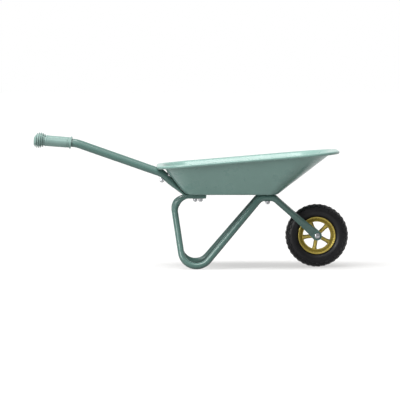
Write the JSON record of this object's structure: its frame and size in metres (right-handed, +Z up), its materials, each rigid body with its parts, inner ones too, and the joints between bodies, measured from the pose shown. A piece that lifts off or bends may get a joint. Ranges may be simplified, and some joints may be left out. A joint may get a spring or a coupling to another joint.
{
  "type": "wheelbarrow",
  "caption": "Child's steel wheelbarrow: flared pressed tray on bent tube legs and fork, two ribbed handle grips, one free-turning wheel with a spoked rim and rubber tyre.",
  "frame": {"origin": "on the floor, midway along the barrow's length and on its centre plane", "axes": "+X forward from the handles to the wheel, +Y to the left of a user standing at the handles, +Z up"},
  "size_m": [0.7995, 0.37, 0.3402],
  "materials": {
    "green_paint_tray": "semi-gloss sage green paint on pressed steel sheet",
    "green_paint_tube": "semi-gloss sage green paint on steel tube",
    "green_grip": "satin pale green moulded grip",
    "gold_rim": "semi-gloss olive gold moulded wheel",
    "black_tyre": "matt black rubber",
    "white_bush": "natural nylon",
    "zinc_steel": "bright zinc plate"
  },
  "bodies": {
    "frame": {"axle_bolt": "zinc_steel", "axle_nut": "zinc_steel", "axle_washer": "zinc_steel", "frame_tube_left": "green_paint_tube", "frame_tube_right": "green_paint_tube", "grip_left": "green_grip", "grip_right": "green_grip", "handle_tube_left": "green_paint_tube", "handle_tube_right": "green_paint_tube", "lap_back_bolt_left": "zinc_steel", "lap_back_bolt_right": "zinc_steel", "lap_back_nut_left": "zinc_steel", "lap_back_nut_right": "zinc_steel", "lap_back_washer_left": "zinc_steel", "lap_back_washer_right": "zinc_steel", "lap_front_bolt_left": "zinc_steel", "lap_front_bolt_right": "zinc_steel", "lap_front_nut_left": "zinc_steel", "lap_front_nut_right": "zinc_steel", "lap_front_washer_left": "zinc_steel", "lap_front_washer_right": "zinc_steel", "saddle_bolt_left": "zinc_steel", "saddle_bolt_right": "zinc_steel", "saddle_nut_left": "zinc_steel", "saddle_nut_right": "zinc_steel", "saddle_washer_left": "zinc_steel", "saddle_washer_right": "zinc_steel", "sleeve_left": "zinc_steel", "sleeve_right": "zinc_steel", "tray": "green_paint_tray", "wall_bolt_left": "zinc_steel", "wall_bolt_right": "zinc_steel", "wall_nut_left": "zinc_steel", "wall_nut_right": "zinc_steel", "wall_spacer_left": "zinc_steel", "wall_spacer_right": "zinc_steel", "wall_washer_left": "zinc_steel", "wall_washer_right": "zinc_steel"},
    "wheel": {"rim": "gold_rim", "tyre": "black_tyre", "hub_bush_left": "white_bush", "hub_bush_right": "white_bush"}
  },
  "joints": [
    {"name": "wheel_spin", "type": "hinge", "parent": "frame", "child": "wheel", "pos_m": [0.32, 0, 0.08], "axis": [0, 1, 0], "continuous": true}
  ]
}
